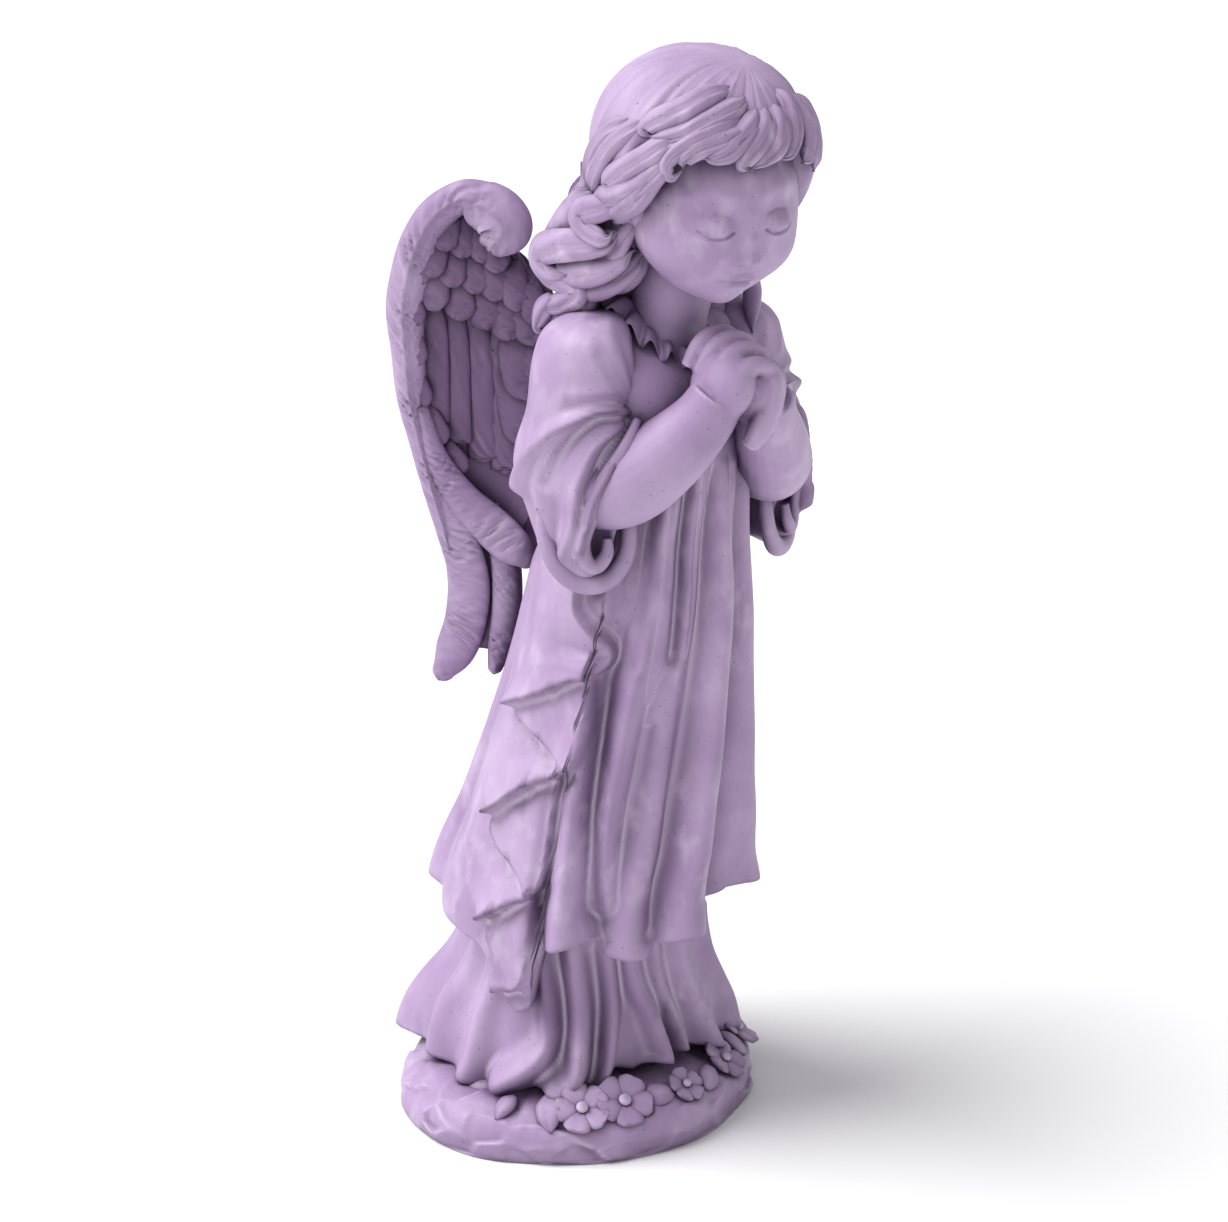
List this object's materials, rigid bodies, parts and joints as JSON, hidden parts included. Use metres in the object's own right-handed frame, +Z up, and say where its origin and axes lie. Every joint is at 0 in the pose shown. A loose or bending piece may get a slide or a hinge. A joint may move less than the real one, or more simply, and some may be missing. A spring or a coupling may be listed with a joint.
{
  "type": "angel statue",
  "caption": "Lilac painted cast stone statue of a praying child angel with cupped wings, on a rocky oval base with flowers.",
  "frame": {"origin": "ground plane under the figure, near the middle of the base's flat underside", "axes": "+Z up the figure, -Y the way the figure looks, -X the figure's right side"},
  "size_m": [0.2033, 0.2541, 0.6003],
  "materials": {
    "painted_cast_stone": "semi-matt lilac paint with fine casting pinholes"
  },
  "bodies": {
    "root": {"angel_statue": "painted_cast_stone"}
  },
  "joints": []
}
